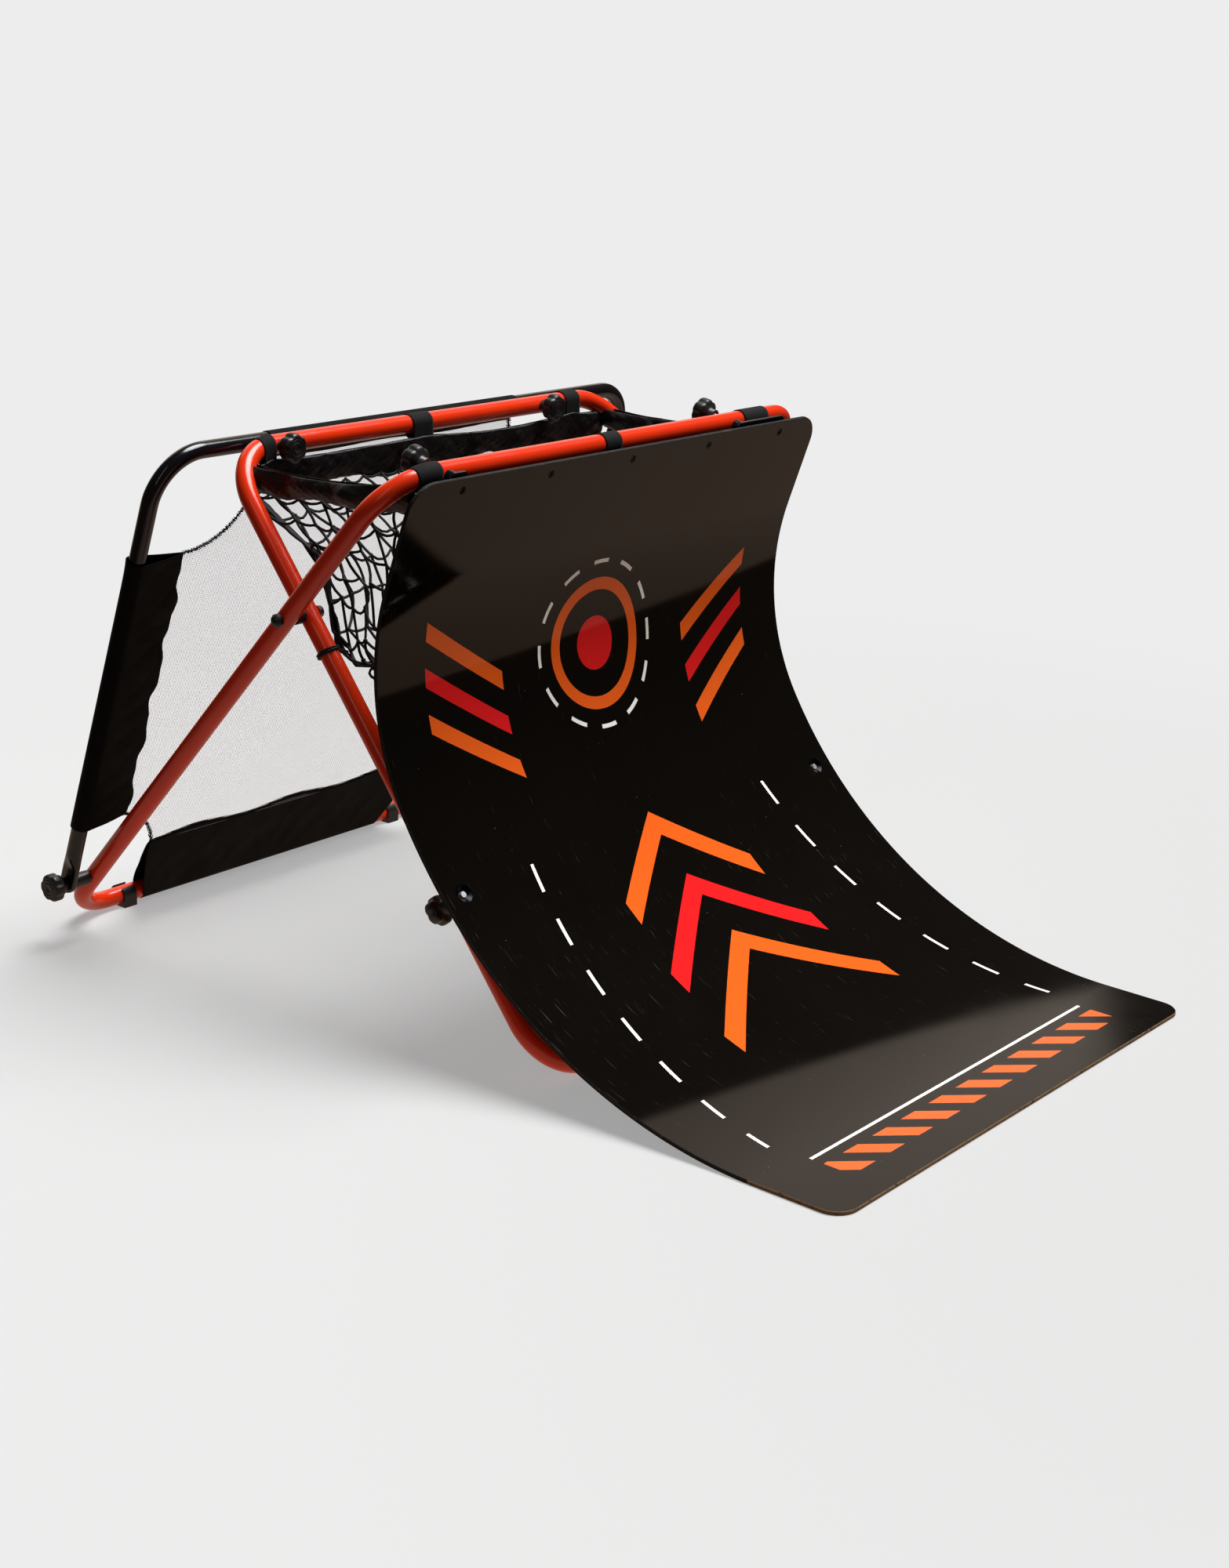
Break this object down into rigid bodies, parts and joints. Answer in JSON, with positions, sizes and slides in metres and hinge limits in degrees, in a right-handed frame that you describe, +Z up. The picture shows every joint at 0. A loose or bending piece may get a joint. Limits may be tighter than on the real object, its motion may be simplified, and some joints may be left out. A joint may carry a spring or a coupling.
{
  "type": "football training ramp",
  "caption": "Folding ball-lifting ramp on crossed tube frames with a catching basket between the top bars and a rebound net behind.",
  "frame": {"origin": "middle of the footprint, on the floor", "axes": "+X across the ramp, +Y from the ramp to the rebound net, +Z up"},
  "size_m": [0.9836, 1.3154, 0.7401],
  "materials": {
    "red_steel": "gloss powder coat",
    "black_steel": "satin powder coat",
    "ramp_board": "semi-gloss film",
    "zinc_steel": "zinc plated",
    "black_plastic": "moulded",
    "black_webbing": "woven nylon",
    "black_cord": "knotted cord",
    "white_mesh": "knitted mesh"
  },
  "bodies": {
    "rear_legs": {"rear_leg_frame": "red_steel", "pivot_bolts": "zinc_steel", "pivot_spacers": "black_plastic", "pivot_cap_nuts": "black_plastic", "ramp_panel": "ramp_board", "ramp_top_rail": "black_steel", "rail_screws": "zinc_steel", "ramp_bracket_left": "black_steel", "ramp_bracket_right": "black_steel", "ramp_bolt_cups": "zinc_steel", "base_spacers": "black_plastic", "base_inserts": "zinc_steel", "rear_foot_clips": "black_plastic", "basket_front_rim": "black_webbing", "basket_straps_front": "black_webbing", "basket_left_rim": "black_webbing", "basket_right_rim": "black_webbing", "basket_net": "black_cord", "mesh_bottom_sleeve": "black_webbing"},
    "front_legs": {"front_leg_frame": "red_steel", "front_foot_clips": "black_plastic", "basket_rear_rim": "black_webbing", "basket_straps_rear": "black_webbing", "net_ties": "black_cord"},
    "rebound": {"rebound_frame": "black_steel", "clamp_inserts": "zinc_steel", "rebound_mesh": "white_mesh", "mesh_top_sleeve": "black_webbing", "mesh_left_sleeve": "black_webbing", "mesh_right_sleeve": "black_webbing", "mesh_corner_cords": "black_webbing"},
    "rear_knob_left_body": {"rear_knob_left": "black_plastic", "rear_stud_left": "zinc_steel"},
    "hanger_knob_left_body": {"hanger_knob_left": "black_plastic", "hanger_stud_left": "zinc_steel"},
    "ramp_knob_left_body": {"ramp_knob_left": "black_plastic", "ramp_stud_left": "zinc_steel"},
    "base_knob_left_body": {"base_knob_left": "black_plastic", "base_stud_left": "zinc_steel"},
    "rear_knob_right_body": {"rear_knob_right": "black_plastic", "rear_stud_right": "zinc_steel"},
    "hanger_knob_right_body": {"hanger_knob_right": "black_plastic", "hanger_stud_right": "zinc_steel"},
    "ramp_knob_right_body": {"ramp_knob_right": "black_plastic", "ramp_stud_right": "zinc_steel"},
    "base_knob_right_body": {"base_knob_right": "black_plastic", "base_stud_right": "zinc_steel"}
  },
  "joints": [
    {"name": "frame_fold", "type": "hinge", "parent": "rear_legs", "child": "front_legs", "pos_m": [0, 0.20609, 0.51617], "axis": [1, 0, 0], "range_deg": [0, 60], "deforming": ["basket_net", "basket_left_rim", "basket_right_rim"]},
    {"name": "rebound_tilt", "type": "hinge", "parent": "rear_legs", "child": "rebound", "pos_m": [0, 0.58181, 0.08487], "axis": [1, 0, 0], "range_deg": [-43, 0], "deforming": ["mesh_bottom_sleeve"]},
    {"name": "rear_knob_left_turn", "type": "hinge", "parent": "front_legs", "child": "rear_knob_left_body", "pos_m": [-0.291, 0.35183, 0.69526], "axis": [0, -1, 0], "continuous": true},
    {"name": "hanger_knob_left_turn", "type": "hinge", "parent": "rear_legs", "child": "hanger_knob_left_body", "pos_m": [-0.326, 0.03465, 0.71297], "axis": [0, 0.9848, 0.1736], "continuous": true},
    {"name": "ramp_knob_left_turn", "type": "hinge", "parent": "front_legs", "child": "ramp_knob_left_body", "pos_m": [-0.3746, -0.04638, 0.20592], "axis": [0, 0.7756, -0.6312], "continuous": true},
    {"name": "base_knob_left_turn", "type": "hinge", "parent": "rear_legs", "child": "base_knob_left_body", "pos_m": [-0.458, 0.58181, 0.08487], "axis": [-1, 0, 0], "continuous": true},
    {"name": "rear_knob_right_turn", "type": "hinge", "parent": "front_legs", "child": "rear_knob_right_body", "pos_m": [0.217, 0.35183, 0.69526], "axis": [0, -1, 0], "continuous": true},
    {"name": "hanger_knob_right_turn", "type": "hinge", "parent": "rear_legs", "child": "hanger_knob_right_body", "pos_m": [0.245, 0.03465, 0.71297], "axis": [0, 0.9848, 0.1736], "continuous": true},
    {"name": "ramp_knob_right_turn", "type": "hinge", "parent": "front_legs", "child": "ramp_knob_right_body", "pos_m": [0.3746, -0.04638, 0.20592], "axis": [0, 0.7756, -0.6312], "continuous": true},
    {"name": "base_knob_right_turn", "type": "hinge", "parent": "rear_legs", "child": "base_knob_right_body", "pos_m": [0.458, 0.58181, 0.08487], "axis": [1, 0, 0], "continuous": true}
  ],
  "couplings": [
    {"joint": "rebound_tilt", "follows": "frame_fold", "ratio": -0.7155}
  ]
}
